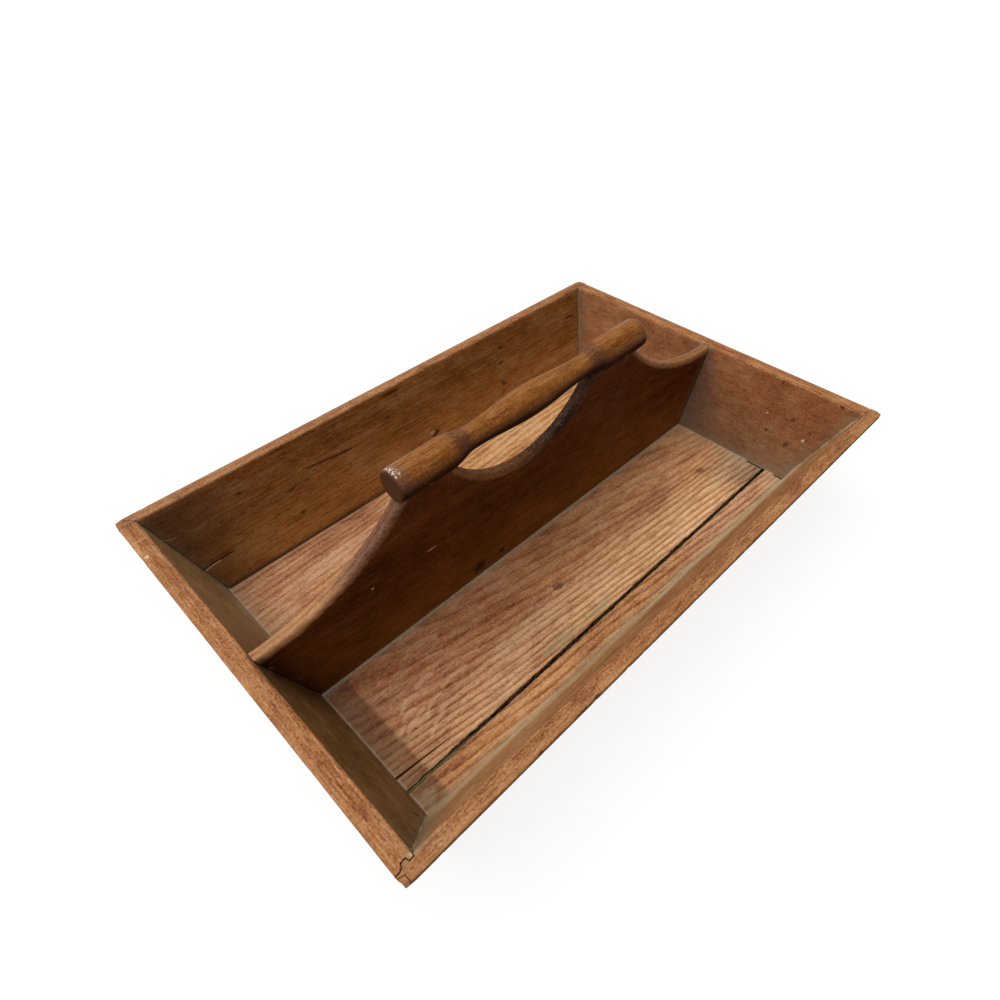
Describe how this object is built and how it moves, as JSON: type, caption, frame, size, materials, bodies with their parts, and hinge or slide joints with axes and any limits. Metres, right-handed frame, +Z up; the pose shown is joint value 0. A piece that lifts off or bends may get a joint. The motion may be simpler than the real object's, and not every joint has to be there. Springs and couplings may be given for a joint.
{
  "type": "cutlery tray",
  "caption": "Open wooden cutlery tray with leaning dovetailed sides, a nailed board floor and a pierced lengthwise divider under a turned carrying handle.",
  "frame": {"origin": "on the table, under the middle of the tray", "axes": "+X along the handle, +Y away from the long board with the narrow floor board at its foot, +Z up"},
  "size_m": [0.38, 0.2486, 0.1228],
  "materials": {
    "side_wood": "old golden brown hardwood, waxed and worn pale on its edges",
    "end_wood": "old red-brown hardwood, waxed, dusty in its corners",
    "floor_pine": "bare old pine with raised late wood",
    "divider_wood": "dark stained wood, polished by hands",
    "handle_wood": "turned hardwood, polished by hands",
    "peg_wood": "pared wooden peg",
    "nail_iron": "dull rusted iron"
  },
  "bodies": {
    "root": {"front_side": "side_wood", "rear_side": "side_wood", "left_end": "end_wood", "right_end": "end_wood", "wide_floor_board": "floor_pine", "narrow_floor_board": "floor_pine", "divider": "divider_wood", "handle": "handle_wood", "handle_pegs": "peg_wood", "side_floor_nails": "nail_iron", "end_floor_nails": "nail_iron", "divider_floor_nails": "nail_iron", "divider_end_nails": "nail_iron"}
  },
  "joints": []
}
